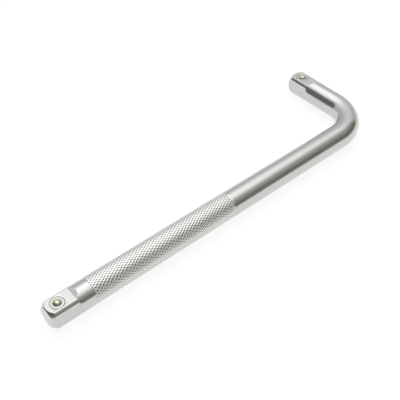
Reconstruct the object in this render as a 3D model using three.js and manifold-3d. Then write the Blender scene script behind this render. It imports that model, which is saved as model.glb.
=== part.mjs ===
// L-handle socket wrench: one forged round bar, bent square, with a drive
// square at each end and a spring-loaded detent ball in each square.
// Millimetres, +Z up. The bar lies flat and touches the plane Z = 0.
// The long leg lies along X with its tip at -X, the short leg points to +Y.
// The origin is below the middle of the whole outline.

import * as THREE from 'three';
import { mergeVertices } from 'three/addons/utils/BufferGeometryUtils.js';
import Module from 'manifold-3d';

const wasm = await Module();
wasm.setup();

// Handle bar
const overallLength = 256; // tip of the long leg to the outside of the short leg
const overallReach = 71; // tip of the short leg to the outside of the long leg
const barDiameter = 16;
const bendRadius = 24.5; // of the bar's centre line
const bendSteps = 12;

// Diamond knurl on the long leg
const knurlSetback = 26.6; // from the long tip to the first groove
const knurlLength = 98.1;
const knurlPitch = 2.973; // from one diamond to the next along the bar
const knurlStarts = 28; // grooves round the bar in each direction
const knurlDepth = 0.5;
const knurlEdge = 0.3; // slope where the knurl begins and ends

// Drive squares
const driveSquare = 12.7; // across the flats
const flatLength = 16.3; // of each flat, from the tip
const runoutLength = 2.45; // slope from the end of a flat up to the round neck
const tipChamfer = 2.5; // turned cone at the tip, along the bar
const tipFaceDiameter = 11.8;

// Detent balls and their sockets
const ballDiameter = 5.556;
const ballSetback = 7.25; // from the tip to the ball's centre
const ballProtrusion = 1.45; // above the flat
const ballSideClearance = 0.2; // between the ball and its socket wall
const lipClearance = 0.06; // between the ball and the staked lip
const lipDepth = 0.75; // where the staked lip begins, below the flat
const socketDepth = 9;
const stakeInnerDiameter = 7;
const stakeOuterDiameter = 8.2;
const stakeDepth = 0.35;

// Detent springs
const springOuterDiameter = 4.6;
const springWire = 0.45;
const springTurns = 5.5;
const springClearance = 0.06; // at the ball and at the floor of the socket

// Fineness of the faceted solids, in counts
const socketSides = 32;
const ballSides = 28;
const ballRings = 18;
const springStepsPerTurn = 12;
const springQuarterSides = 3;

const cutOverrun = 1; // cuts run past the surface that they open

const barRadius = barDiameter / 2;
const halfSquare = driveSquare / 2;
const ballRadius = ballDiameter / 2;
const ballSink = ballRadius - ballProtrusion; // of the ball's centre below the flat
const socketRadius = ballRadius + ballSideClearance;

// Centre line of the bar, measured from the long tip
const longStraight = overallLength - barRadius - bendRadius;
const shortStraight = overallReach - barRadius - bendRadius;
const bendLength = (bendRadius * Math.PI) / 2;
const centreLineLength = longStraight + bendLength + shortStraight;
const longTip = new THREE.Vector3(-overallLength / 2, barRadius - overallReach / 2, barRadius);
const shortTip = new THREE.Vector3(overallLength / 2 - barRadius, overallReach / 2, barRadius);

// Centre and heading of the bar at a distance from the long tip
function centreLineAt(distance) {
  const past = THREE.MathUtils.clamp(distance - longStraight, 0, bendLength);
  const heading = past / bendRadius;
  const before = Math.min(distance, longStraight);
  const after = Math.max(distance - longStraight - bendLength, 0);
  const centre = new THREE.Vector3(
    longTip.x + before + bendRadius * Math.sin(heading),
    longTip.y + after + bendRadius * (1 - Math.cos(heading)),
    longTip.z,
  );
  return { centre, heading };
}

// Rings of the bar from tip to tip. A knurled ring has a row number, counted in
// half pitches. Its vertices are crests where row and side differ by an even
// number, and groove crossings elsewhere.
function barRings() {
  const rows = Math.round((2 * knurlLength) / knurlPitch);
  const rings = [
    { distance: 0, radius: tipFaceDiameter / 2 },
    { distance: tipChamfer, radius: barRadius },
    { distance: knurlSetback - knurlEdge, radius: barRadius },
    { distance: knurlSetback, radius: barRadius - knurlDepth },
  ];
  for (let row = 1; row < rows; row += 1) {
    const distance = knurlSetback + (knurlLength * row) / rows;
    rings.push({ distance, radius: barRadius - knurlDepth, row });
  }
  rings.push({ distance: knurlSetback + knurlLength, radius: barRadius - knurlDepth });
  rings.push({ distance: knurlSetback + knurlLength + knurlEdge, radius: barRadius });
  for (let step = 0; step <= bendSteps; step += 1) {
    rings.push({ distance: longStraight + (bendLength * step) / bendSteps, radius: barRadius });
  }
  rings.push({ distance: centreLineLength - tipChamfer, radius: barRadius });
  rings.push({ distance: centreLineLength, radius: tipFaceDiameter / 2 });
  return rings;
}

// The round bar as one closed surface, its rings joined by two triangles a cell.
// In the knurl each cell is split along the groove that crosses it.
function barGeometry() {
  const rings = barRings();
  const sides = 2 * knurlStarts;
  const positions = [];
  const triangles = [];
  for (const { distance, radius, row } of rings) {
    const { centre, heading } = centreLineAt(distance);
    const left = new THREE.Vector3(-Math.sin(heading), Math.cos(heading), 0);
    for (let side = 0; side < sides; side += 1) {
      const isCrest = row !== undefined && (row + side) % 2 === 0;
      const reach = isCrest ? radius + knurlDepth : radius;
      const angle = (2 * Math.PI * side) / sides;
      const point = centre.clone().addScaledVector(left, reach * Math.cos(angle));
      point.z += reach * Math.sin(angle);
      positions.push(...point.toArray());
    }
  }
  for (let ring = 0; ring < rings.length - 1; ring += 1) {
    const row = rings[ring].row ?? (rings[ring + 1].row ?? 1) - 1;
    for (let side = 0; side < sides; side += 1) {
      const next = (side + 1) % sides;
      const a = ring * sides + side;
      const b = ring * sides + next;
      const c = a + sides;
      const d = b + sides;
      const grooveFromA = (row + side) % 2 === 1;
      triangles.push(...(grooveFromA ? [a, b, d, a, d, c] : [a, b, c, b, d, c]));
    }
  }
  const firstCentre = positions.length / 3;
  const lastRing = (rings.length - 1) * sides;
  positions.push(...longTip.toArray(), ...shortTip.toArray());
  for (let side = 0; side < sides; side += 1) {
    const next = (side + 1) % sides;
    triangles.push(firstCentre, next, side);
    triangles.push(firstCentre + 1, lastRing + side, lastRing + next);
  }
  const geometry = new THREE.BufferGeometry();
  geometry.setAttribute('position', new THREE.Float32BufferAttribute(positions, 3));
  geometry.setIndex(triangles);
  return geometry;
}

// Everything above one flat of a drive square, with the runout slope. A drive
// end has its own frame: origin at the tip, +X into the bar, +Z up.
function flatCutter() {
  const top = barRadius + cutOverrun;
  const slope = runoutLength / (barRadius - halfSquare);
  const side = new THREE.Shape();
  side.moveTo(-cutOverrun, halfSquare);
  side.lineTo(flatLength, halfSquare);
  side.lineTo(flatLength + slope * (top - halfSquare), top);
  side.lineTo(-cutOverrun, top);
  const cutter = new THREE.ExtrudeGeometry(side, { depth: 2 * top, bevelEnabled: false });
  return cutter.translate(0, 0, -top).rotateX(Math.PI / 2);
}

// A profile of radius and height points, turned about the ball's own axis
function turned(points, sides) {
  const profile = points.map(([radius, height]) => new THREE.Vector2(radius, height));
  return new THREE.LatheGeometry(profile, sides).rotateX(Math.PI / 2);
}

// Blind socket for ball and spring. The staked lip is narrower than the ball,
// and its edge at the flat clears the ball's surface by the lip clearance.
function socketCutter() {
  const mouthRadius = Math.sqrt((ballRadius + lipClearance) ** 2 - ballSink ** 2);
  return turned([
    [0, -socketDepth],
    [socketRadius, -socketDepth],
    [socketRadius, -lipDepth],
    [mouthRadius, 0],
    [mouthRadius, cutOverrun],
    [0, cutOverrun],
  ], socketSides);
}

// Ring groove pressed round the socket by the staking punch
function stakeCutter() {
  const inner = stakeInnerDiameter / 2;
  const outer = stakeOuterDiameter / 2;
  return turned([
    [inner, 0],
    [(inner + outer) / 2, -stakeDepth],
    [outer, 0],
    [outer, cutOverrun],
    [inner, cutOverrun],
    [inner, 0],
  ], socketSides);
}

// A closed geometry with shared vertices becomes a solid that can be cut
function solidFrom(geometry) {
  const shape = geometry.clone();
  shape.deleteAttribute('normal');
  shape.deleteAttribute('uv');
  const merged = mergeVertices(shape);
  const corners = merged.index.array;
  const triangles = [];
  for (let first = 0; first < corners.length; first += 3) {
    const [a, b, c] = corners.slice(first, first + 3);
    if (a !== b && b !== c && c !== a) triangles.push(a, b, c);
  }
  return new wasm.Manifold(new wasm.Mesh({
    numProp: 3,
    vertProperties: merged.attributes.position.array,
    triVerts: new Uint32Array(triangles),
  }));
}

function geometryFrom(solid) {
  const mesh = solid.getMesh();
  const geometry = new THREE.BufferGeometry();
  geometry.setAttribute('position', new THREE.BufferAttribute(mesh.vertProperties, 3));
  geometry.setIndex(new THREE.BufferAttribute(mesh.triVerts, 1));
  return geometry;
}

// Where each drive end sits on the bar
const driveEnds = [
  { name: 'long_end', place: new THREE.Matrix4().makeTranslation(longTip) },
  {
    name: 'short_end',
    place: new THREE.Matrix4().makeRotationZ(-Math.PI / 2).setPosition(shortTip),
  },
];

// The bar with four flats, one ball socket and one staking ring at each end
function handleBar() {
  let bar = solidFrom(barGeometry());
  for (const { place } of driveEnds) {
    const cutters = [];
    for (let quarter = 0; quarter < 4; quarter += 1) {
      cutters.push(flatCutter().rotateX((quarter * Math.PI) / 2));
    }
    for (const cutter of [socketCutter(), stakeCutter()]) {
      cutters.push(cutter.translate(ballSetback, 0, halfSquare));
    }
    for (const cutter of cutters) bar = bar.subtract(solidFrom(cutter.applyMatrix4(place)));
  }
  return geometryFrom(bar);
}

// Ball centred on the origin, its poles up and down
function detentBall() {
  return new THREE.SphereGeometry(ballRadius, ballSides, ballRings).rotateX(Math.PI / 2);
}

// Middle line of the spring wire, rising from the socket floor to the ball
class SpringLine extends THREE.Curve {
  constructor(radius, bottom, top) {
    super();
    Object.assign(this, { radius, bottom, top });
  }

  getPoint(share, target = new THREE.Vector3()) {
    const angle = 2 * Math.PI * springTurns * share;
    const height = THREE.MathUtils.lerp(this.bottom, this.top, share);
    return target.set(this.radius * Math.cos(angle), this.radius * Math.sin(angle), height);
  }
}

// Compression spring, heights measured from the flat. Its top turn lies on the
// underside of the ball, its bottom turn on the floor of the socket.
function detentSpring() {
  const wireRadius = springWire / 2;
  const turnRadius = springOuterDiameter / 2 - wireRadius;
  const bottom = -socketDepth + springClearance + wireRadius;
  const reach = ballRadius + springClearance + wireRadius;
  const top = -ballSink - Math.sqrt(reach ** 2 - turnRadius ** 2);
  const section = new THREE.Shape();
  section.absarc(0, 0, wireRadius, 0, 2 * Math.PI);
  return new THREE.ExtrudeGeometry(section, {
    steps: Math.round(springTurns * springStepsPerTurn),
    curveSegments: springQuarterSides,
    bevelEnabled: false,
    extrudePath: new SpringLine(turnRadius, bottom, top),
  });
}

function metal(color, roughness) {
  return new THREE.MeshStandardMaterial({ color, roughness, metalness: 1, flatShading: true });
}

const satinChrome = metal(0xc9cbc8, 0.3);
const polishedSteel = metal(0xd8d8d4, 0.08);
const springSteel = metal(0x8c8a86, 0.35);

function named(name, geometry, material) {
  const mesh = new THREE.Mesh(geometry, material);
  mesh.name = name;
  return mesh;
}

const wrench = new THREE.Group();
wrench.add(named('handle_bar', handleBar(), satinChrome));
for (const { name, place } of driveEnds) {
  const end = new THREE.Group();
  place.decompose(end.position, end.quaternion, end.scale);
  const ball = named(`${name}_ball`, detentBall(), polishedSteel);
  ball.position.set(ballSetback, 0, halfSquare - ballSink);
  const spring = named(`${name}_spring`, detentSpring(), springSteel);
  spring.position.set(ballSetback, 0, halfSquare);
  end.add(ball, spring);
  wrench.add(end);
}

export default wrench;
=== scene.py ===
import bpy
import numpy as np
from mathutils import Matrix


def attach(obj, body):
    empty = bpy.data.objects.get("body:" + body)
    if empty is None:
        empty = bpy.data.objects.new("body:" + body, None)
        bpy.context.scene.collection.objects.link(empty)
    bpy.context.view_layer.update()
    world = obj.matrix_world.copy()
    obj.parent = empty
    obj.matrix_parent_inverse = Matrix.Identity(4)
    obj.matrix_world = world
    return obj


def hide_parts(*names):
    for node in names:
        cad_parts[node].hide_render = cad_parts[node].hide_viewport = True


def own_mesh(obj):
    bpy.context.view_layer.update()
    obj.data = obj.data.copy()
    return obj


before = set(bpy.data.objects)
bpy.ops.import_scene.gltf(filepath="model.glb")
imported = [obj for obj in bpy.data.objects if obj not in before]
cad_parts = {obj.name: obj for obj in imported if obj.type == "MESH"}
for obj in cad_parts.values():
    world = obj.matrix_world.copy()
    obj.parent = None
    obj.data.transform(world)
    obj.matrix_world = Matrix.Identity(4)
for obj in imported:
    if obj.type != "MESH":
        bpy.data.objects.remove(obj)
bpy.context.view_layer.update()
print("frame loaded:", ", ".join(sorted(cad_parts)))

millimetre = 0.001  # sizes below are in millimetres, and Blender's own are in metres


def linear(hexColour):
    # An sRGB hex colour as the linear colour that the shaders take
    channels = np.array([int(hexColour[i:i + 2], 16) for i in (1, 3, 5)]) / 255
    curved = ((channels + 0.055) / 1.055) ** 2.4
    return (*np.where(channels <= 0.04045, channels / 12.92, curved).tolist(), 1.0)


def perMetre(sizeInMillimetres):
    # Scale of a noise whose features are about this big
    return 1 / (sizeInMillimetres * millimetre)


def addNode(tree, kind, settings=None, inputs=None):
    # Settings are the node's own properties. An input is a value, or a socket to link.
    node = tree.nodes.new(kind)
    for key, value in (settings or {}).items():
        setattr(node, key, value)
    for key, value in (inputs or {}).items():
        if isinstance(value, bpy.types.NodeSocket):
            tree.links.new(value, node.inputs[key])
        else:
            node.inputs[key].default_value = value
    return node


def newMaterial(name):
    material = bpy.data.materials.new(name)
    material.use_nodes = True
    material.node_tree.nodes.clear()
    return material, material.node_tree


def meshPiece(name, points, faces, material):
    # Points in millimetres, one row each; faces are rows of three or four indices
    mesh = bpy.data.meshes.new(name)
    mesh.from_pydata((points * millimetre).tolist(), [], faces.tolist())
    mesh.materials.append(material)
    mesh.shade_smooth()
    piece = bpy.data.objects.new(name, mesh)
    bpy.context.scene.collection.objects.link(piece)
    return piece


def addAttribute(piece, name, values):
    attribute = piece.data.attributes.new(name, "FLOAT", "POINT")
    attribute.data.foreach_set("value", np.asarray(values, np.float32))


def tubeFaces(rows, count):
    # Triangles between rows of points that each close on themselves, and the two fans
    # that join the first and the last row to two more points. They face outwards where
    # a row turns to the left round the way that the rows go.
    row, column = np.meshgrid(np.arange(rows - 1), np.arange(count), indexing="ij")
    a = row * count + column
    b = row * count + (column + 1) % count
    quads = np.stack([a, b, b + count, a + count], -1).reshape(-1, 4)
    around = np.arange(count)
    after = (around + 1) % count
    last = (rows - 1) * count
    low = np.stack([np.full(count, rows * count), after, around], -1)
    high = np.stack([np.full(count, rows * count + 1), last + around, last + after], -1)
    return np.concatenate([quads[:, [0, 1, 2]], quads[:, [0, 2, 3]], low, high])


barMarks = ("grooveDepthAndPaintedLight", "edgeShine", "paintedRecessShade", "milledFace")  # at each point of the bar
satinChrome = {
    "plate": "#c9cbc8",
    "knurlPaintedLightTone": "#f0f1ee",  # painted light: the knurl's grooves, and its lands by a share, are drawn lighter than the plate
    "pitShadeTone": "#5c5b55",  # painted shade where two grooves cross, in the staking groove and down the socket
    "milledTone": "#f1f2f2",  # end-milled faces between the flats and the round bar
    "roughness": (0.17, 0.23),  # where the polish is clear and where it is cloudy
    "edgeRoughness": 0.14,  # edges are burnished by handling
    "grooveRoughness": 0.2,
    "milledRoughness": 0.85,
    "mottleSize": 5.0,  # of the clouds in the polish
    "mottleReach": (0.3, 0.7),  # noise values of clear and cloudy polish
    "grainSize": 0.9,  # real grain is about 0.1 mm, drawn coarser so that it shows
    "grainHeight": 0.004,
    "grainStrength": 0.35,
}


def makeSatinChrome():
    # Nickel-chrome plate over a tumbled forging: a soft mirror with blurred lights, slightly
    # cloudy, brighter on worn edges and duller down in the grooves. Painted light lightens the
    # knurl, and painted shade darkens where grooves cross and down the sockets.
    s = satinChrome
    material, tree = newMaterial("satinChromePlate")
    place = addNode(tree, "ShaderNodeTexCoord").outputs["Object"]
    groove, edge, pit, milled = (
        addNode(tree, "ShaderNodeAttribute", {"attribute_name": name}).outputs["Fac"]
        for name in barMarks)
    mottle = addNode(tree, "ShaderNodeTexNoise", inputs={
        "Vector": place, "Scale": perMetre(s["mottleSize"]), "Detail": 3.0, "Roughness": 0.55,
    }).outputs["Fac"]
    grain = addNode(tree, "ShaderNodeTexNoise", inputs={
        "Vector": place, "Scale": perMetre(s["grainSize"]), "Detail": 4.0, "Roughness": 0.6,
    }).outputs["Fac"]
    colour = linear(s["plate"])
    # The knurl's tone is painted light, and the pit tone is painted shade
    for amount, tone in ((groove, "knurlPaintedLightTone"), (pit, "pitShadeTone"), (milled, "milledTone")):
        colour = addNode(tree, "ShaderNodeMix", {"data_type": "RGBA"}, {
            "Factor": amount, "A": colour, "B": linear(s[tone]),
        }).outputs["Result"]
    rough = addNode(tree, "ShaderNodeMapRange", inputs={
        "Value": mottle, "From Min": s["mottleReach"][0], "From Max": s["mottleReach"][1],
        "To Min": s["roughness"][0], "To Max": s["roughness"][1],
    }).outputs["Result"]
    for amount, finish in ((edge, "edgeRoughness"), (groove, "grooveRoughness"),
                           (milled, "milledRoughness")):
        rough = addNode(tree, "ShaderNodeMix", {"data_type": "FLOAT"}, {
            "Factor": amount, "A": rough, "B": s[finish],
        }).outputs["Result"]
    bump = addNode(tree, "ShaderNodeBump", inputs={
        "Height": grain, "Strength": s["grainStrength"],
        "Distance": s["grainHeight"] * millimetre,
    }).outputs["Normal"]
    surface = addNode(tree, "ShaderNodeBsdfPrincipled", inputs={
        "Base Color": colour, "Metallic": 1.0, "Roughness": rough, "Normal": bump,
    })
    addNode(tree, "ShaderNodeOutputMaterial", inputs={"Surface": surface.outputs["BSDF"]})
    return material


polishedBall = {
    "steel": "#d6d2bd",
    "rubbed": "#cbc7b2",
    "roughness": (0.05, 0.13),  # between the rubbing marks and in them
    "markSize": 0.35,
    "markShape": 0.15,  # width of a mark over its length
    "markReach": (0.35, 0.7),  # noise values of clean and rubbed steel
}


def makePolishedBall():
    # Lapped bearing steel: a near mirror with faint rubbing marks from sockets
    s = polishedBall
    material, tree = newMaterial("lappedBearingSteel")
    place = addNode(tree, "ShaderNodeTexCoord").outputs["Object"]
    stretched = addNode(tree, "ShaderNodeMapping", inputs={
        "Vector": place, "Scale": (s["markShape"], 1.0, 1.0),
    }).outputs["Vector"]
    marks = addNode(tree, "ShaderNodeTexNoise", inputs={
        "Vector": stretched, "Scale": perMetre(s["markSize"]), "Detail": 3.0,
    }).outputs["Fac"]
    rough = addNode(tree, "ShaderNodeMapRange", inputs={
        "Value": marks, "From Min": s["markReach"][0], "From Max": s["markReach"][1],
        "To Min": s["roughness"][0], "To Max": s["roughness"][1],
    }).outputs["Result"]
    tone = addNode(tree, "ShaderNodeMix", {"data_type": "RGBA"}, {
        "Factor": marks, "A": linear(s["steel"]), "B": linear(s["rubbed"]),
    }).outputs["Result"]
    surface = addNode(tree, "ShaderNodeBsdfPrincipled", inputs={
        "Base Color": tone, "Metallic": 1.0, "Roughness": rough,
    })
    addNode(tree, "ShaderNodeOutputMaterial", inputs={"Surface": surface.outputs["BSDF"]})
    return material


drawnWire = {
    "steel": "#8f8c86",
    "drawMark": "#6f6c66",
    "roughness": 0.36,
    "markSize": 0.12,
    "markShape": 0.08,  # width of a mark over its length
    "markHeight": 0.003,
    "markStrength": 0.4,
}


def makeDrawnWire():
    # Hard-drawn spring wire: grey, with fine marks along the wire from the drawing die
    s = drawnWire
    material, tree = newMaterial("drawnSpringWire")
    along = addNode(tree, "ShaderNodeUVMap", {"uv_map": "wireMap"}).outputs["UV"]
    stretched = addNode(tree, "ShaderNodeMapping", inputs={
        "Vector": along, "Scale": (s["markShape"], 1.0, 1.0),
    }).outputs["Vector"]
    marks = addNode(tree, "ShaderNodeTexNoise", inputs={
        "Vector": stretched, "Scale": perMetre(s["markSize"]), "Detail": 2.0,
    }).outputs["Fac"]
    tone = addNode(tree, "ShaderNodeMix", {"data_type": "RGBA"}, {
        "Factor": marks, "A": linear(s["drawMark"]), "B": linear(s["steel"]),
    }).outputs["Result"]
    bump = addNode(tree, "ShaderNodeBump", inputs={
        "Height": marks, "Strength": s["markStrength"],
        "Distance": s["markHeight"] * millimetre,
    }).outputs["Normal"]
    surface = addNode(tree, "ShaderNodeBsdfPrincipled", inputs={
        "Base Color": tone, "Metallic": 1.0, "Roughness": s["roughness"], "Normal": bump,
    })
    addNode(tree, "ShaderNodeOutputMaterial", inputs={"Surface": surface.outputs["BSDF"]})
    return material


chrome = makeSatinChrome()
ballSteel = makePolishedBall()
wireSteel = makeDrawnWire()
print("finishes made")


bar = {
    "diameter": 16.0,
    "overallLength": 256.0,  # tip of the long leg to the outside of the short leg
    "overallReach": 71.0,  # tip of the short leg to the outside of the long leg
    "bendRadius": 24.5,  # of the centre line
    "neckLines": 5,  # in which the columns of a drive end turn into those of the knurl
    "plainLines": 16,
    "bendLines": 48,
    "sharpAngle": 28,  # degrees, above which a fold of the skin is shaded as an edge
}
knurl = {
    "start": 26.6,  # from the long tip
    "length": 98.1,
    "pitch": 2.973,  # along the bar
    "grooves": 28,  # round the bar, in each direction
    "offsets": (0.0, 0.5, 1.5, 3.0),  # from a groove's line to a crest, in thirds of a half cell
    "depths": (0.27, 0.15, 0.08, 0.0),
    "handDepths": (0.7, 1.3),  # times the depth, where a groove rises and where it falls
    "crossing": 0.2,  # further down where two grooves cross
    "crestShine": 0.6,  # the lands are burnished a little less than the edges
    "landPaintedLightShare": 0.7,  # the lands get this share of the grooves' roughness and painted light
    "paintedShadeSpread": 0.5,  # share of a crossing's painted shade that the points next to it have
    "startSlope": 0.3,  # from the plain bar down to the first groove
    "endSlope": 1.5,
    "margin": 0.5,  # to the next line of plain bar, before the knurl and past its end slope
}
drive = {
    "square": 12.7,
    "flat": 16.3,  # from the tip
    "runout": 2.45,
    "faceDiameter": 11.8,
    "cone": 2.5,  # along the bar
    "softness": 0.12,  # rounding of the edges
    "foldSoftness": 0.15,
    "neck": 20.5,  # all round from here
    "faceRings": (  # how far inside the end face's rim, how far from the tip, edge shine
        (3.9, 0, 0), (1.9, 0, 0), (0.6, 0, 0), (0.18, 0, 0), (0.1, 0, 0.8), (0.028, 0.015, 0.8)),
    "rimLine": 0.05,  # from the tip
    "crowd": (-1.6, -1, -0.5, 0, 0.5, 1, 1.6),  # lines or columns over a soft edge, in widths
    "foldLines": (-2, -1, -0.5, 0, 0.5, 1),  # over the fold where the runout starts, in widths
    "leastGap": 0.1,  # from the fold to the crowded lines of the runout's edge
    "evenAngle": 33.8,  # degrees off the middle of a flat, with even columns up to here
}
socket = {
    "fromTip": 7.25,
    "mouth": 2.508,  # radius inside the staked lip
    "bore": 2.978,  # radius
    "lipDepth": 0.75,
    "depth": 9.0,
    "stakeInner": 3.75,  # radius of the staking groove's inner edge
    "stakeOuter": 4.1,
    "stakeDepth": 0.15,
    "patchSteps": 20,  # lines and columns of the square patch of skin round the socket
    "patchReach": 4.35,  # to each side of its axis, along the bar
    # Rings of skin, each by how far it is outside and above the edge or floor that it is
    # named for, and by its groove mark and painted shade
    "stakeOuterRings": ((0.04, 0, 0, 0), (-0.01, -0.02, 0, 0.2)),
    "stakeFloorRings": ((0.06, 0.015, 0, 0.6), (0, 0, 0, 0.6), (-0.06, 0.015, 0, 0.6)),
    "stakeInnerRings": ((-0.01, -0.015, 0, 0.2), (-0.06, 0, 0, 0), (-0.55, 0, 0, 0)),
    "mouthRings": ((0.15, 0, 0, 0), (0.07, -0.012, 0, 0), (0.03, -0.05, 0.2, 0.4)),
    "lipRings": ((0, 0, 1, 1),),
    "floorRings": ((0, 5.5, 1, 1), (0, 0, 1, 1), (-1.478, 0, 1, 1)),
}

barRadius = bar["diameter"] / 2
halfSquare = drive["square"] / 2
flatHeight = barRadius + halfSquare
longStraight = bar["overallLength"] - barRadius - bar["bendRadius"]
shortStraight = bar["overallReach"] - barRadius - bar["bendRadius"]
bendLength = bar["bendRadius"] * np.pi / 2
barLength = longStraight + bendLength + shortStraight
socketPlaces = {"long": socket["fromTip"], "short": barLength - socket["fromTip"]}
coneSlope = (barRadius - drive["faceDiameter"] / 2) / drive["cone"]
runoutSlope = (barRadius - halfSquare) / drive["runout"]
steps = len(knurl["offsets"]) - 1  # along and around each half cell of the knurl
columns = steps * 2 * knurl["grooves"]
quadrant = columns // 4


def centreLine(distance):
    # Straight along X, a quarter turn to the left, then straight along Y.
    # Gives the point and the heading angle at each distance from the long tip.
    heading = np.clip(distance - longStraight, 0, bendLength) / bar["bendRadius"]
    x = -bar["overallLength"] / 2 + np.minimum(distance, longStraight)
    y = barRadius - bar["overallReach"] / 2 + np.maximum(distance - longStraight - bendLength, 0)
    x = x + bar["bendRadius"] * np.sin(heading)
    y = y + bar["bendRadius"] * (1 - np.cos(heading))
    return np.stack([x, y, np.full_like(x, barRadius)], -1), heading


def barPoint(distance, angle, radius):
    # Centre line, plus radius times (cos angle to the left, sin angle upwards)
    centre, heading = centreLine(distance)
    across = radius * np.cos(angle)
    offset = [-across * np.sin(heading), across * np.cos(heading), radius * np.sin(angle)]
    return centre + np.stack(offset, -1)


def softMin(a, b, softness):
    # The smaller of two, with the crease between them rounded by a parabola
    near = np.maximum(softness - np.abs(a - b), 0)
    return np.minimum(a, b) - near ** 2 / (4 * softness), near / softness


def driveRadius(inward, offFlat):
    # Least of the round bar, a flat at height / cos(angle off its middle), whose height
    # climbs in the runout, and the tip cone. Also how near each point is to an edge,
    # and whether it lies on the runout.
    soft = drive["foldSoftness"]
    past = inward - drive["flat"]
    ramp = np.where(past > soft, past, np.clip(past + soft, 0, None) ** 2 / (4 * soft))
    flat = (halfSquare + runoutSlope * ramp) / np.cos(offFlat)
    body, sideEdge = softMin(barRadius, flat, drive["softness"])
    cone = drive["faceDiameter"] / 2 + coneSlope * inward
    radius, coneEdge = softMin(body, cone, drive["softness"])
    milled = np.clip(past / soft, 0, 1) * np.clip((barRadius - flat) / drive["softness"], 0, 1)
    return radius, np.maximum(sideEdge, coneEdge), milled


def driveAngles():
    # Columns round a drive end: even steps across each flat, crowded at its edges
    edge = np.arccos(halfSquare / barRadius)
    width = drive["softness"] * np.cos(edge) ** 2 / (halfSquare * np.sin(edge))
    evenSteps = socket["patchSteps"] // 2
    evenReach = np.tan(np.radians(drive["evenAngle"]))
    acrossFlat = np.arctan(evenReach * np.arange(evenSteps + 1) / evenSteps)
    atEdge = edge + width * np.array(drive["crowd"])
    spare = columns // 8 + 1 - len(acrossFlat) - len(atEdge)
    pastEdge = np.linspace(atEdge[-1], np.pi / 4, spare + 1)[1:]
    half = np.concatenate([acrossFlat, atEdge, pastEdge])
    quarter = np.concatenate([half, np.pi / 2 - half[-2:0:-1]])
    return np.concatenate([quarter + turn * np.pi / 2 for turn in range(4)])


def between(low, high, parts):
    # The lines inside a stretch that is cut into even parts
    return [low + (high - low) * (part / parts) for part in range(1, parts)]


def driveLines(offFlat):
    # Distances from the tip, line by column. Lines crowd along the edge of the cone
    # and the edge of the runout, which bend with the angle.
    soft, fold, crowd = drive["softness"], drive["foldSoftness"], drive["crowd"]
    flatEnd, neck, rim = drive["flat"], drive["neck"], drive["rimLine"]
    patchSteps, patchReach = socket["patchSteps"], socket["patchReach"]
    body = softMin(barRadius, halfSquare / np.cos(offFlat), soft)[0]
    coneEdge = (body - drive["faceDiameter"] / 2) / coneSlope
    coneWidth, runoutWidth = soft / coneSlope, soft / runoutSlope
    runoutEdge = flatEnd + (barRadius * np.cos(offFlat) - halfSquare) / runoutSlope
    nearest = flatEnd + fold + drive["leastGap"] + crowd[-1] * runoutWidth
    runoutEdge = np.maximum(runoutEdge, nearest)
    level = 0 * coneEdge  # plus a distance, this is a line that doesn't bend
    lines = [level + rim]
    lines += between(rim, coneEdge + crowd[0] * coneWidth, 3)
    lines += [coneEdge + coneWidth * k for k in crowd]
    patchStart = socket["fromTip"] - patchReach
    lines += between(lines[-1], patchStart, 3)
    patchLine = len(lines)
    patchLines = 2 * patchReach * np.arange(patchSteps + 1) / patchSteps
    lines += [level + patchStart + inward for inward in patchLines]
    lines += between(lines[-1], flatEnd - 2 * fold, 4)
    lines += [level + flatEnd + fold * k for k in drive["foldLines"]]
    lines += between(lines[-1], runoutEdge + crowd[0] * runoutWidth, 2)
    lines += [runoutEdge + runoutWidth * k for k in crowd]
    lines += between(lines[-1], neck, 3)
    lines += [level + neck]
    return np.array(lines), patchLine


aroundDrive = driveAngles()
aroundKnurl = np.arange(columns) * 2 * np.pi / columns


def plainLines(distances, morph):
    # Round lines; morph goes from 0, columns of a drive end, to 1, those of the knurl.
    # These and the next functions give distance, angle, radius and the four marks of
    # each point, line by column.
    distances, morph = np.asarray(distances), np.asarray(morph)
    angle = aroundDrive + morph[:, None] * (aroundKnurl - aroundDrive)
    zero = np.zeros(angle.shape)
    return distances[:, None] + zero, angle, zero + barRadius, zero, zero, zero, zero


def tipLines():
    # A drive end from its flat face and rounded rim to the neck. Also the first line of
    # the patch round its socket.
    offFlat = np.abs((aroundDrive + np.pi / 4) % (np.pi / 2) - np.pi / 4)
    driveDistance, patchLine = driveLines(offFlat)
    driveR, driveEdge, driveMilled = driveRadius(driveDistance, offFlat)
    faceRings = np.array(drive["faceRings"]).T[:, :, None] + np.zeros(columns)
    inside, faceDistance, faceEdge = faceRings
    distance = np.concatenate([faceDistance, driveDistance])
    radius = np.concatenate([drive["faceDiameter"] / 2 - inside, driveR])
    edge = np.concatenate([faceEdge, driveEdge])
    milled = np.concatenate([0 * faceEdge, driveMilled])
    zero = 0 * radius
    lines = (distance, aroundDrive + zero, radius, zero, edge, zero, milled)
    return lines, patchLine + len(inside)


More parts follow.
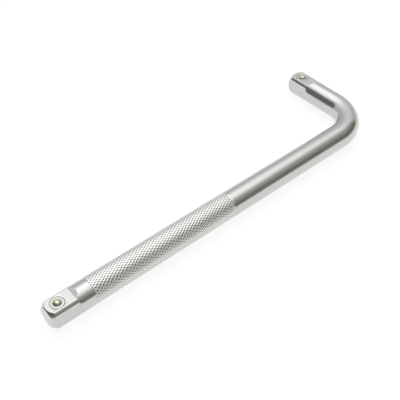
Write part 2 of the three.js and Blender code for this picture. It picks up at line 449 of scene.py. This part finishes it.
def knurlBand():
    # A half cell is a square of steps. One groove crosses it on a diagonal that joins two
    # groove crossings. Each point is a whole number of steps off the diagonal, and is moved
    # square to it to the offset for that number. On the cell's border it moves along the
    # border instead. A ring groove closes the band at both ends. Also gives the cells
    # whose groove rises.
    rows = round(2 * knurl["length"] / knurl["pitch"])
    line = np.arange(steps * rows + 1)[:, None]
    column = np.arange(columns)[None, :]
    grooveRises = (line // steps + column // steps) % 2 == 1
    along = line % steps + 0 * column
    around = np.where(grooveRises, column % steps, steps - column % steps)
    side = np.sign(around - along)
    off = np.abs(around - along)
    offset = np.array(knurl["offsets"])[off]
    middle = (along + around) / 2
    borders = [along == 0, around == 0, around == steps]
    newAlong = np.select(borders, [0 * offset, offset, steps - offset],
                         middle - side * offset / 2)
    newAround = np.select(borders, [offset, 0 * offset, 0 * offset + steps],
                          middle + side * offset / 2)
    shift = np.where(grooveRises, 1, -1) * (newAround - around)
    inside = ~np.any(borders, 0)
    handDepth = np.where(grooveRises, *knurl["handDepths"])
    crosses = (off == 0) & (along == 0)
    depth = np.array(knurl["depths"])[off] * np.where(inside, handDepth, 1)
    depth = depth + knurl["crossing"] * crosses
    fromEnd = np.minimum(line, steps * rows - line)
    depth = np.maximum(depth, knurl["depths"][0] * (1 - fromEnd))
    place = line + (newAlong - along) * (fromEnd > 0)
    distance = knurl["start"] + place / (steps * rows) * knurl["length"]
    angle = (column + shift * (fromEnd > 0)) * 2 * np.pi / columns
    # Painted light: the knurl's colour is lightened by this share, the lands by the least of it
    cut = np.clip(depth / knurl["depths"][0], knurl["landPaintedLightShare"], 1)
    shine = knurl["crestShine"] * (depth == 0)
    # Painted shade where two grooves cross, and a little beside it
    paintedShade = crosses + knurl["paintedShadeSpread"] * ((off == 1) & ~inside)
    return (distance, angle, barRadius - depth, cut, shine, paintedShade, 0 * depth), grooveRises


def barLines():
    # The whole bar from tip to tip. Also the cells whose groove rises, and the first and
    # last line of each socket's patch.
    tip, patchLine = tipLines()
    farTip = [values[::-1] for values in tip]
    farTip[0] = barLength - farTip[0]
    band, grooveRises = knurlBand()
    start, end = knurl["start"], knurl["start"] + knurl["length"]
    neck, bendEnd = drive["neck"], longStraight + bendLength
    shares = np.arange(1, bar["neckLines"] + 1) / bar["neckLines"]
    plainStart = end + knurl["endSlope"] + knurl["margin"]
    straight = np.linspace(plainStart, longStraight, bar["plainLines"])
    bend = longStraight + bendLength * np.arange(1, bar["bendLines"] + 1) / bar["bendLines"]
    before = [
        tip,
        plainLines(neck + (start - knurl["margin"] - neck) * shares, shares),
        plainLines([start - knurl["startSlope"]], [1]),
    ]
    behind = [
        plainLines([end + knurl["endSlope"]], [1]),
        plainLines(straight, straight * 0 + 1),
        plainLines(bend, bend * 0 + 1),
        plainLines(bendEnd + (barLength - neck - bendEnd) * shares[:-1], 1 - shares[:-1]),
        farTip,
    ]
    lines = [np.concatenate(values) for values in zip(*before, band, *behind)]
    bandLine = sum(len(part[0]) for part in before)
    lastLine = len(lines[0]) - 1
    rises = np.zeros((lastLine, columns), bool)
    rises[bandLine:bandLine + len(band[0]) - 1] = grooveRises[:-1]
    patchEnd = patchLine + socket["patchSteps"]
    return lines, rises, [(patchLine, patchEnd), (lastLine - patchEnd, lastLine - patchLine)]


def socketSkin(rim, rimPoints, fromLongTip, firstPoint):
    # Ball socket in a top flat: rings from the rim of the square patch inwards over the
    # staking groove and the lip, then down the bore and over its floor
    s = socket
    stakeMiddle = (s["stakeInner"] + s["stakeOuter"]) / 2
    sections = (
        (s["stakeOuter"], 0, s["stakeOuterRings"]),
        (stakeMiddle, -s["stakeDepth"], s["stakeFloorRings"]),
        (s["stakeInner"], 0, s["stakeInnerRings"]),
        (s["mouth"], 0, s["mouthRings"]),
        (s["bore"], -s["lipDepth"], s["lipRings"]),
        (s["bore"], -s["depth"], s["floorRings"]),
    )
    profile = np.concatenate([
        np.array(rings) + (radius, height, 0, 0) for radius, height, rings in sections])
    axis = centreLine(np.array([fromLongTip]))[0][0]
    turn = np.arctan2(rimPoints[:, 1] - axis[1], rimPoints[:, 0] - axis[0])
    # The last number of each ring is painted shade in the staking groove and down the socket
    radius, height, cut, paintedShade = profile.T[:, :, None] + 0 * turn
    rings = np.stack([axis[0] + radius * np.cos(turn), axis[1] + radius * np.sin(turn),
                      flatHeight + height], -1).reshape(-1, 3)
    points = np.append(rings, [[axis[0], axis[1], flatHeight - s["depth"]]], 0)
    marks = np.stack([cut, 0 * cut, paintedShade, 0 * cut]).reshape(len(barMarks), -1)
    marks = np.append(marks, [[1], [0], [1], [0]], 1)  # the middle of the floor
    loops = np.concatenate([rim[None], firstPoint + np.arange(cut.size).reshape(cut.shape)])
    nextOnes = np.roll(loops, -1, 1)
    middle = np.full(len(rim), firstPoint + cut.size)
    faces = [
        np.stack([loops[:-1], nextOnes[:-1], nextOnes[1:]], -1).reshape(-1, 3),
        np.stack([loops[:-1], nextOnes[1:], loops[1:]], -1).reshape(-1, 3),
        np.stack([loops[-1], nextOnes[-1], middle], -1),
    ]
    return points, marks, faces


def forgedBar():
    (distance, angle, radius, *marks), rises, patches = barLines()
    points = barPoint(distance, angle, radius).reshape(-1, 3)
    marks = np.stack([mark.ravel() for mark in marks])

    # Two triangles to a cell, split along the groove that crosses it in the knurl
    line, column = np.meshgrid(np.arange(len(rises)), np.arange(columns), indexing="ij")
    a = line * columns + column
    b = line * columns + (column + 1) % columns
    c, d = a + columns, b + columns
    first = np.where(rises[..., None], np.stack([a, b, d], -1), np.stack([a, b, c], -1))
    second = np.where(rises[..., None], np.stack([a, d, c], -1), np.stack([b, d, c], -1))
    kept = np.ones(a.shape, bool)
    halfPatch = socket["patchSteps"] // 2
    left, right = quadrant - halfPatch, quadrant + halfPatch
    for low, high in patches:
        kept[low:high, left:right] = False
    faces = [first[kept], second[kept]]

    # The two end faces close in a fan round their middle
    around = np.arange(columns)
    after = (around + 1) % columns
    middle = np.full(columns, len(points))
    last = len(rises) * columns
    points = np.concatenate([points, centreLine(np.array([0.0, barLength]))[0]])
    faces.append(np.stack([middle, after, around], -1))
    faces.append(np.stack([middle + 1, last + around, last + after], -1))
    marks = np.append(marks, np.zeros((len(barMarks), 2)), 1)

    for (low, high), fromLongTip in zip(patches, socketPlaces.values()):
        rim = np.concatenate([
            np.arange(low, high) * columns + right,
            high * columns + np.arange(right, left, -1),
            np.arange(high, low, -1) * columns + left,
            low * columns + np.arange(left, right),
        ])
        newPoints, newMarks, newFaces = socketSkin(rim, points[rim], fromLongTip, len(points))
        points = np.concatenate([points, newPoints])
        marks = np.concatenate([marks, newMarks], 1)
        faces += newFaces

    # The patches left their own inner vertices behind
    faces = np.concatenate(faces)
    used = np.unique(faces)
    renumber = np.zeros(len(points), int)
    renumber[used] = np.arange(len(used))
    piece = meshPiece("forgedBar", points[used], renumber[faces], chrome)
    for name, mark in zip(barMarks, marks):
        addAttribute(piece, name, mark[used])
    piece.data.set_sharp_from_angle(angle=np.radians(bar["sharpAngle"]))
    return piece


barPiece = forgedBar()
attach(barPiece, "handle")
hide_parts("handle_bar")
print("forged bar:", len(barPiece.data.polygons), "triangles")


ball = {"diameter": 5.556, "proud": 1.45, "around": 96, "rings": 64}
spring = {
    "outside": 4.6,
    "wire": 0.45,
    "turns": 5.5,
    "closedTurns": 0.9,
    "gap": 0.06,  # to the ball and to the socket's floor
    "stepsPerTurn": 56,
    "wireSides": 16,
}

ballRadius = ball["diameter"] / 2
ballHeight = flatHeight + ball["proud"] - ballRadius


def detentBall(name, axis):
    # Sphere: radius x (cos turn cos tilt, sin turn cos tilt, sin tilt), poles closed
    tilt = np.linspace(-np.pi / 2, np.pi / 2, ball["rings"] + 1)[1:-1, None]
    turn = np.linspace(0, 2 * np.pi, ball["around"], endpoint=False)[None, :]
    grid = np.stack([np.cos(turn) * np.cos(tilt), np.sin(turn) * np.cos(tilt),
                     np.sin(tilt) + 0 * turn], -1).reshape(-1, 3)
    points = np.concatenate([grid, [[0, 0, -1], [0, 0, 1]]]) * ballRadius
    faces = tubeFaces(ball["rings"] - 1, ball["around"])
    return meshPiece(name, points + [axis[0], axis[1], ballHeight], faces, ballSteel)


def detentSpring(name, axis):
    # Helix whose end turns lie closed on themselves: height climbs one wire over each
    # closed turn and the rest evenly between. The wire is a circle carried along it.
    wireRadius = spring["wire"] / 2
    turnRadius = spring["outside"] / 2 - wireRadius
    bottom = flatHeight - socket["depth"] + spring["gap"] + wireRadius
    reach = ballRadius + spring["gap"] + wireRadius
    top = ballHeight - np.sqrt(reach ** 2 - turnRadius ** 2)
    rows = round(spring["turns"] * spring["stepsPerTurn"]) + 1
    turns = np.linspace(0, spring["turns"], rows)
    closed = spring["closedTurns"]
    climb = spring["wire"] * closed
    height = np.interp(turns, [0, closed, spring["turns"] - closed, spring["turns"]],
                       [bottom, bottom + climb, top - climb, top])
    turn = 2 * np.pi * turns
    middle = np.stack([turnRadius * np.cos(turn), turnRadius * np.sin(turn), height], -1)
    tangent = np.gradient(middle, axis=0)
    tangent /= np.linalg.norm(tangent, axis=1)[:, None]
    outward = np.stack([np.cos(turn), np.sin(turn), 0 * turn], -1)
    upward = np.cross(tangent, outward)
    upward /= np.linalg.norm(upward, axis=1)[:, None]
    count = spring["wireSides"]
    side = np.linspace(0, 2 * np.pi, count, endpoint=False)
    tube = (middle[:, None] + wireRadius * (np.cos(side)[None, :, None] * outward[:, None]
            + np.sin(side)[None, :, None] * upward[:, None])).reshape(-1, 3)
    points = np.concatenate([tube, middle[[0, -1]]]) + [axis[0], axis[1], 0]
    piece = meshPiece(name, points, tubeFaces(rows, count), wireSteel)

    # Map in metres: along the wire, and round its circle
    mesh = piece.data
    wireMap = mesh.uv_layers.new(name="wireMap")
    corner = np.zeros(len(mesh.loops), int)
    mesh.loops.foreach_get("vertex_index", corner)
    along = np.append(np.repeat(turn * turnRadius, count), [0, turn[-1] * turnRadius])
    acrossWire = np.append(np.tile(side * wireRadius, rows), [0, 0])
    uv = np.stack([along[corner], acrossWire[corner]], -1) * millimetre
    wireMap.data.foreach_set("uv", uv.astype(np.float32).ravel())
    return piece


for end, distance in socketPlaces.items():
    axis = centreLine(np.array([distance]))[0][0]
    ballPiece = detentBall(end + "EndBall", axis)
    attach(ballPiece, end + "_ball")
    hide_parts(end + "_end_ball")
    springPiece = detentSpring(end + "EndSpring", axis)
    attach(springPiece, "handle")
    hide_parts(end + "_end_spring")
    # The spring's top stands 5.64 mm above the socket's floor and goes down by 1.45 mm
    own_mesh(springPiece)
print("detent balls and springs made")


camera = {
    "target": (-11.884, -13.469, 8.0),
    "distance": 436.457,
    "azimuth": -40.824,
    "elevation": 44.216,
    "roll": -0.037,
    "focalLength": 65.678,
    "sensorWidth": 36.0,
    "clipStart": 10.0,
    "clipEnd": 50000.0,
}


def makeCamera():
    # Backwards vector from azimuth and elevation; right and up follow, then roll
    azimuth, elevation, roll = np.radians([camera[k] for k in ("azimuth", "elevation", "roll")])
    back = np.array([np.sin(azimuth) * np.cos(elevation), -np.cos(azimuth) * np.cos(elevation),
                     np.sin(elevation)])
    level = np.array([np.cos(azimuth), np.sin(azimuth), 0])
    upright = np.cross(back, level)
    right = np.cos(roll) * level + np.sin(roll) * upright
    up = np.cos(roll) * upright - np.sin(roll) * level
    place = (np.array(camera["target"]) + back * camera["distance"]) * millimetre
    data = bpy.data.cameras.new("photoCamera")
    data.lens = camera["focalLength"]
    data.sensor_width = camera["sensorWidth"]
    data.clip_start = camera["clipStart"] * millimetre
    data.clip_end = camera["clipEnd"] * millimetre
    piece = bpy.data.objects.new("photoCamera", data)
    bpy.context.scene.collection.objects.link(piece)
    turn = np.eye(4)
    turn[:3, :4] = np.stack([right, up, back, place], -1)
    piece.matrix_world = Matrix(turn.tolist())
    bpy.context.scene.camera = piece


makeCamera()
print("camera made")


# Lights are linear colours. A pair of edges is where a light is absent and where it is
# full. Those of the softbox are distances on a ceiling 1 high, and the others are parts
# of the direction away from the camera, to the left or up.
studio = {
    "farAzimuth": 49.2,  # away from the camera, in degrees from +X
    "leastRise": 0.03,  # keeps the distances on the ceiling finite near the horizon
    "softboxLights": ((1.8, 1.8, 1.8), (0.9, 0.9, 0.9)),  # in its middle and round its rim
    "softboxMiddle": (0.35, 0.08),
    "softboxSpread": (0.0, 1.1),  # from its middle
    "softboxFar": (1.3, 0.95),
    "softboxNear": (-0.75, -0.05),
    "softboxLeft": (1.2, 0.5),
    "softboxRight": (-1.06, -0.47),
    "softboxSkew": (-0.5, 0.1),  # its left and right edges run outwards with distance
    "rightLight": (0.236, 0.2, 0.164),
    "highLight": (0.46, 0.46, 0.4324),  # high up on the right
    "highReach": (0.35, 0.7),
    "leftLight": (0.1568, 0.1648, 0.1552),
    "leftReach": (-0.4, 0.4),
    "backdropLights": ((0.637, 0.65, 0.6565), (0.87, 0.87, 0.87)),  # low down and high up
    "backdropRise": (0.35, 0.6),
    "backdropReach": (0.37, 0.52),
    "backdropTurn": 0.15,  # it lies a little to the left
    "horizonLight": (0.95, 0.95, 0.95),  # where the paper ends, and what is below it
    "horizonReach": (0.05, -0.02),
    "paperHalf": 6000.0,
    "paperDrop": 0.02,  # below the object
    "paperDiffuse": 0.24,
    "paperGlow": 0.84,
}


def makeWorld():
    # A light tent: one soft overhead box, a pale sweep at the far side, and the dim room
    # on the left, on the right and behind the camera, which pales towards the horizon
    s = studio
    world = bpy.data.worlds.new("lightTent")
    world.use_nodes = True
    tree = world.node_tree
    tree.nodes.clear()
    look = addNode(tree, "ShaderNodeTexCoord").outputs["Generated"]
    turned = addNode(tree, "ShaderNodeMapping", inputs={
        "Vector": look, "Rotation": (0, 0, -np.radians(s["farAzimuth"])),
    }).outputs["Vector"]
    away, left, upward = addNode(tree, "ShaderNodeSeparateXYZ", inputs={"Vector": turned}).outputs
    rise = addNode(tree, "ShaderNodeMath", {"operation": "MAXIMUM"}, {
        0: upward, 1: s["leastRise"],
    }).outputs[0]
    ceilingAway, ceilingLeft = (addNode(tree, "ShaderNodeMath", {"operation": "DIVIDE"}, {
        0: part, 1: rise,
    }).outputs[0] for part in (away, left))
    leftSide, rightSide = (addNode(tree, "ShaderNodeMath", {"operation": "MULTIPLY_ADD"}, {
        0: ceilingAway, 1: skew, 2: ceilingLeft,
    }).outputs[0] for skew in s["softboxSkew"])
    ceiling = addNode(tree, "ShaderNodeCombineXYZ", inputs={"X": ceilingAway, "Y": ceilingLeft})
    fromMiddle = addNode(tree, "ShaderNodeVectorMath", {"operation": "DISTANCE"}, {
        0: ceiling.outputs[0], 1: (*s["softboxMiddle"], 0.0),
    }).outputs["Value"]
    facing = addNode(tree, "ShaderNodeMath", {"operation": "MULTIPLY_ADD"}, {
        0: left, 1: s["backdropTurn"], 2: away,
    }).outputs[0]

    # Smooth steps over each pair of edges
    fades = {}
    for name, value in (
            ("softboxNear", ceilingAway), ("softboxFar", ceilingAway), ("softboxLeft", leftSide),
            ("softboxRight", rightSide), ("softboxSpread", fromMiddle), ("highReach", rise),
            ("leftReach", left), ("backdropRise", rise), ("backdropReach", facing),
            ("horizonReach", upward)):
        fades[name] = addNode(tree, "ShaderNodeMapRange", {"interpolation_type": "SMOOTHSTEP"}, {
            "Value": value, "From Min": s[name][0], "From Max": s[name][1],
        }).outputs["Result"]
    boxMask = fades["softboxNear"]
    for edge in ("softboxFar", "softboxLeft", "softboxRight"):
        boxMask = addNode(tree, "ShaderNodeMath", {"operation": "MULTIPLY"}, {
            0: boxMask, 1: fades[edge],
        }).outputs[0]

    # Each light goes over those before it, by its own fade
    backdrop, box = (addNode(tree, "ShaderNodeMix", {"data_type": "RGBA"}, {
        "Factor": fades[fade], "A": (*s[lights][0], 1.0), "B": (*s[lights][1], 1.0),
    }).outputs["Result"] for fade, lights in (("backdropRise", "backdropLights"),
                                              ("softboxSpread", "softboxLights")))
    light = (*s["rightLight"], 1.0)
    for amount, over in (
            (fades["highReach"], (*s["highLight"], 1.0)),
            (fades["leftReach"], (*s["leftLight"], 1.0)),
            (fades["backdropReach"], backdrop),
            (boxMask, box),
            (fades["horizonReach"], (*s["horizonLight"], 1.0))):
        light = addNode(tree, "ShaderNodeMix", {"data_type": "RGBA"}, {
            "Factor": amount, "A": light, "B": over,
        }).outputs["Result"]
    background = addNode(tree, "ShaderNodeBackground", inputs={"Color": light, "Strength": 1.0})
    addNode(tree, "ShaderNodeOutputWorld", inputs={"Surface": background.outputs["Background"]})
    bpy.context.scene.world = world


def makeFloor():
    # White paper: lit by the tent, and topped up to white where the camera or a
    # reflection looks at it, so that only the object's shadow shows. Its back is
    # clear, so that the object can be looked at from below.
    s = studio
    material, tree = newMaterial("seamlessPaper")
    path = addNode(tree, "ShaderNodeLightPath").outputs
    seen = path["Is Camera Ray"]
    for ray in ("Is Glossy Ray", "Is Transmission Ray"):
        seen = addNode(tree, "ShaderNodeMath", {"operation": "ADD", "use_clamp": True}, {
            0: seen, 1: path[ray],
        }).outputs[0]
    glow = addNode(tree, "ShaderNodeMath", {"operation": "MULTIPLY"}, {
        0: seen, 1: s["paperGlow"],
    }).outputs[0]
    emission = addNode(tree, "ShaderNodeEmission", inputs={
        "Color": (1.0, 1.0, 1.0, 1.0), "Strength": glow,
    }).outputs["Emission"]
    diffuse = addNode(tree, "ShaderNodeBsdfDiffuse", inputs={
        "Color": (*[s["paperDiffuse"]] * 3, 1.0),
    }).outputs["BSDF"]
    front = addNode(tree, "ShaderNodeAddShader", inputs={0: emission, 1: diffuse}).outputs[0]
    back = addNode(tree, "ShaderNodeBsdfTransparent").outputs["BSDF"]
    fromBelow = addNode(tree, "ShaderNodeNewGeometry").outputs["Backfacing"]
    paper = addNode(tree, "ShaderNodeMixShader", inputs={0: fromBelow, 1: front, 2: back})
    addNode(tree, "ShaderNodeOutputMaterial", inputs={"Surface": paper.outputs[0]})
    material.cycles.emission_sampling = "NONE"
    square = np.array([[-1, -1, 0], [1, -1, 0], [1, 1, 0], [-1, 1, 0]])
    corners = square * s["paperHalf"] - [0, 0, s["paperDrop"]]
    floor = meshPiece("paperFloor", corners, np.array([[0, 1, 2, 3]]), material)


makeWorld()
makeFloor()
bpy.context.scene.view_settings.view_transform = "Standard"
print("studio made")
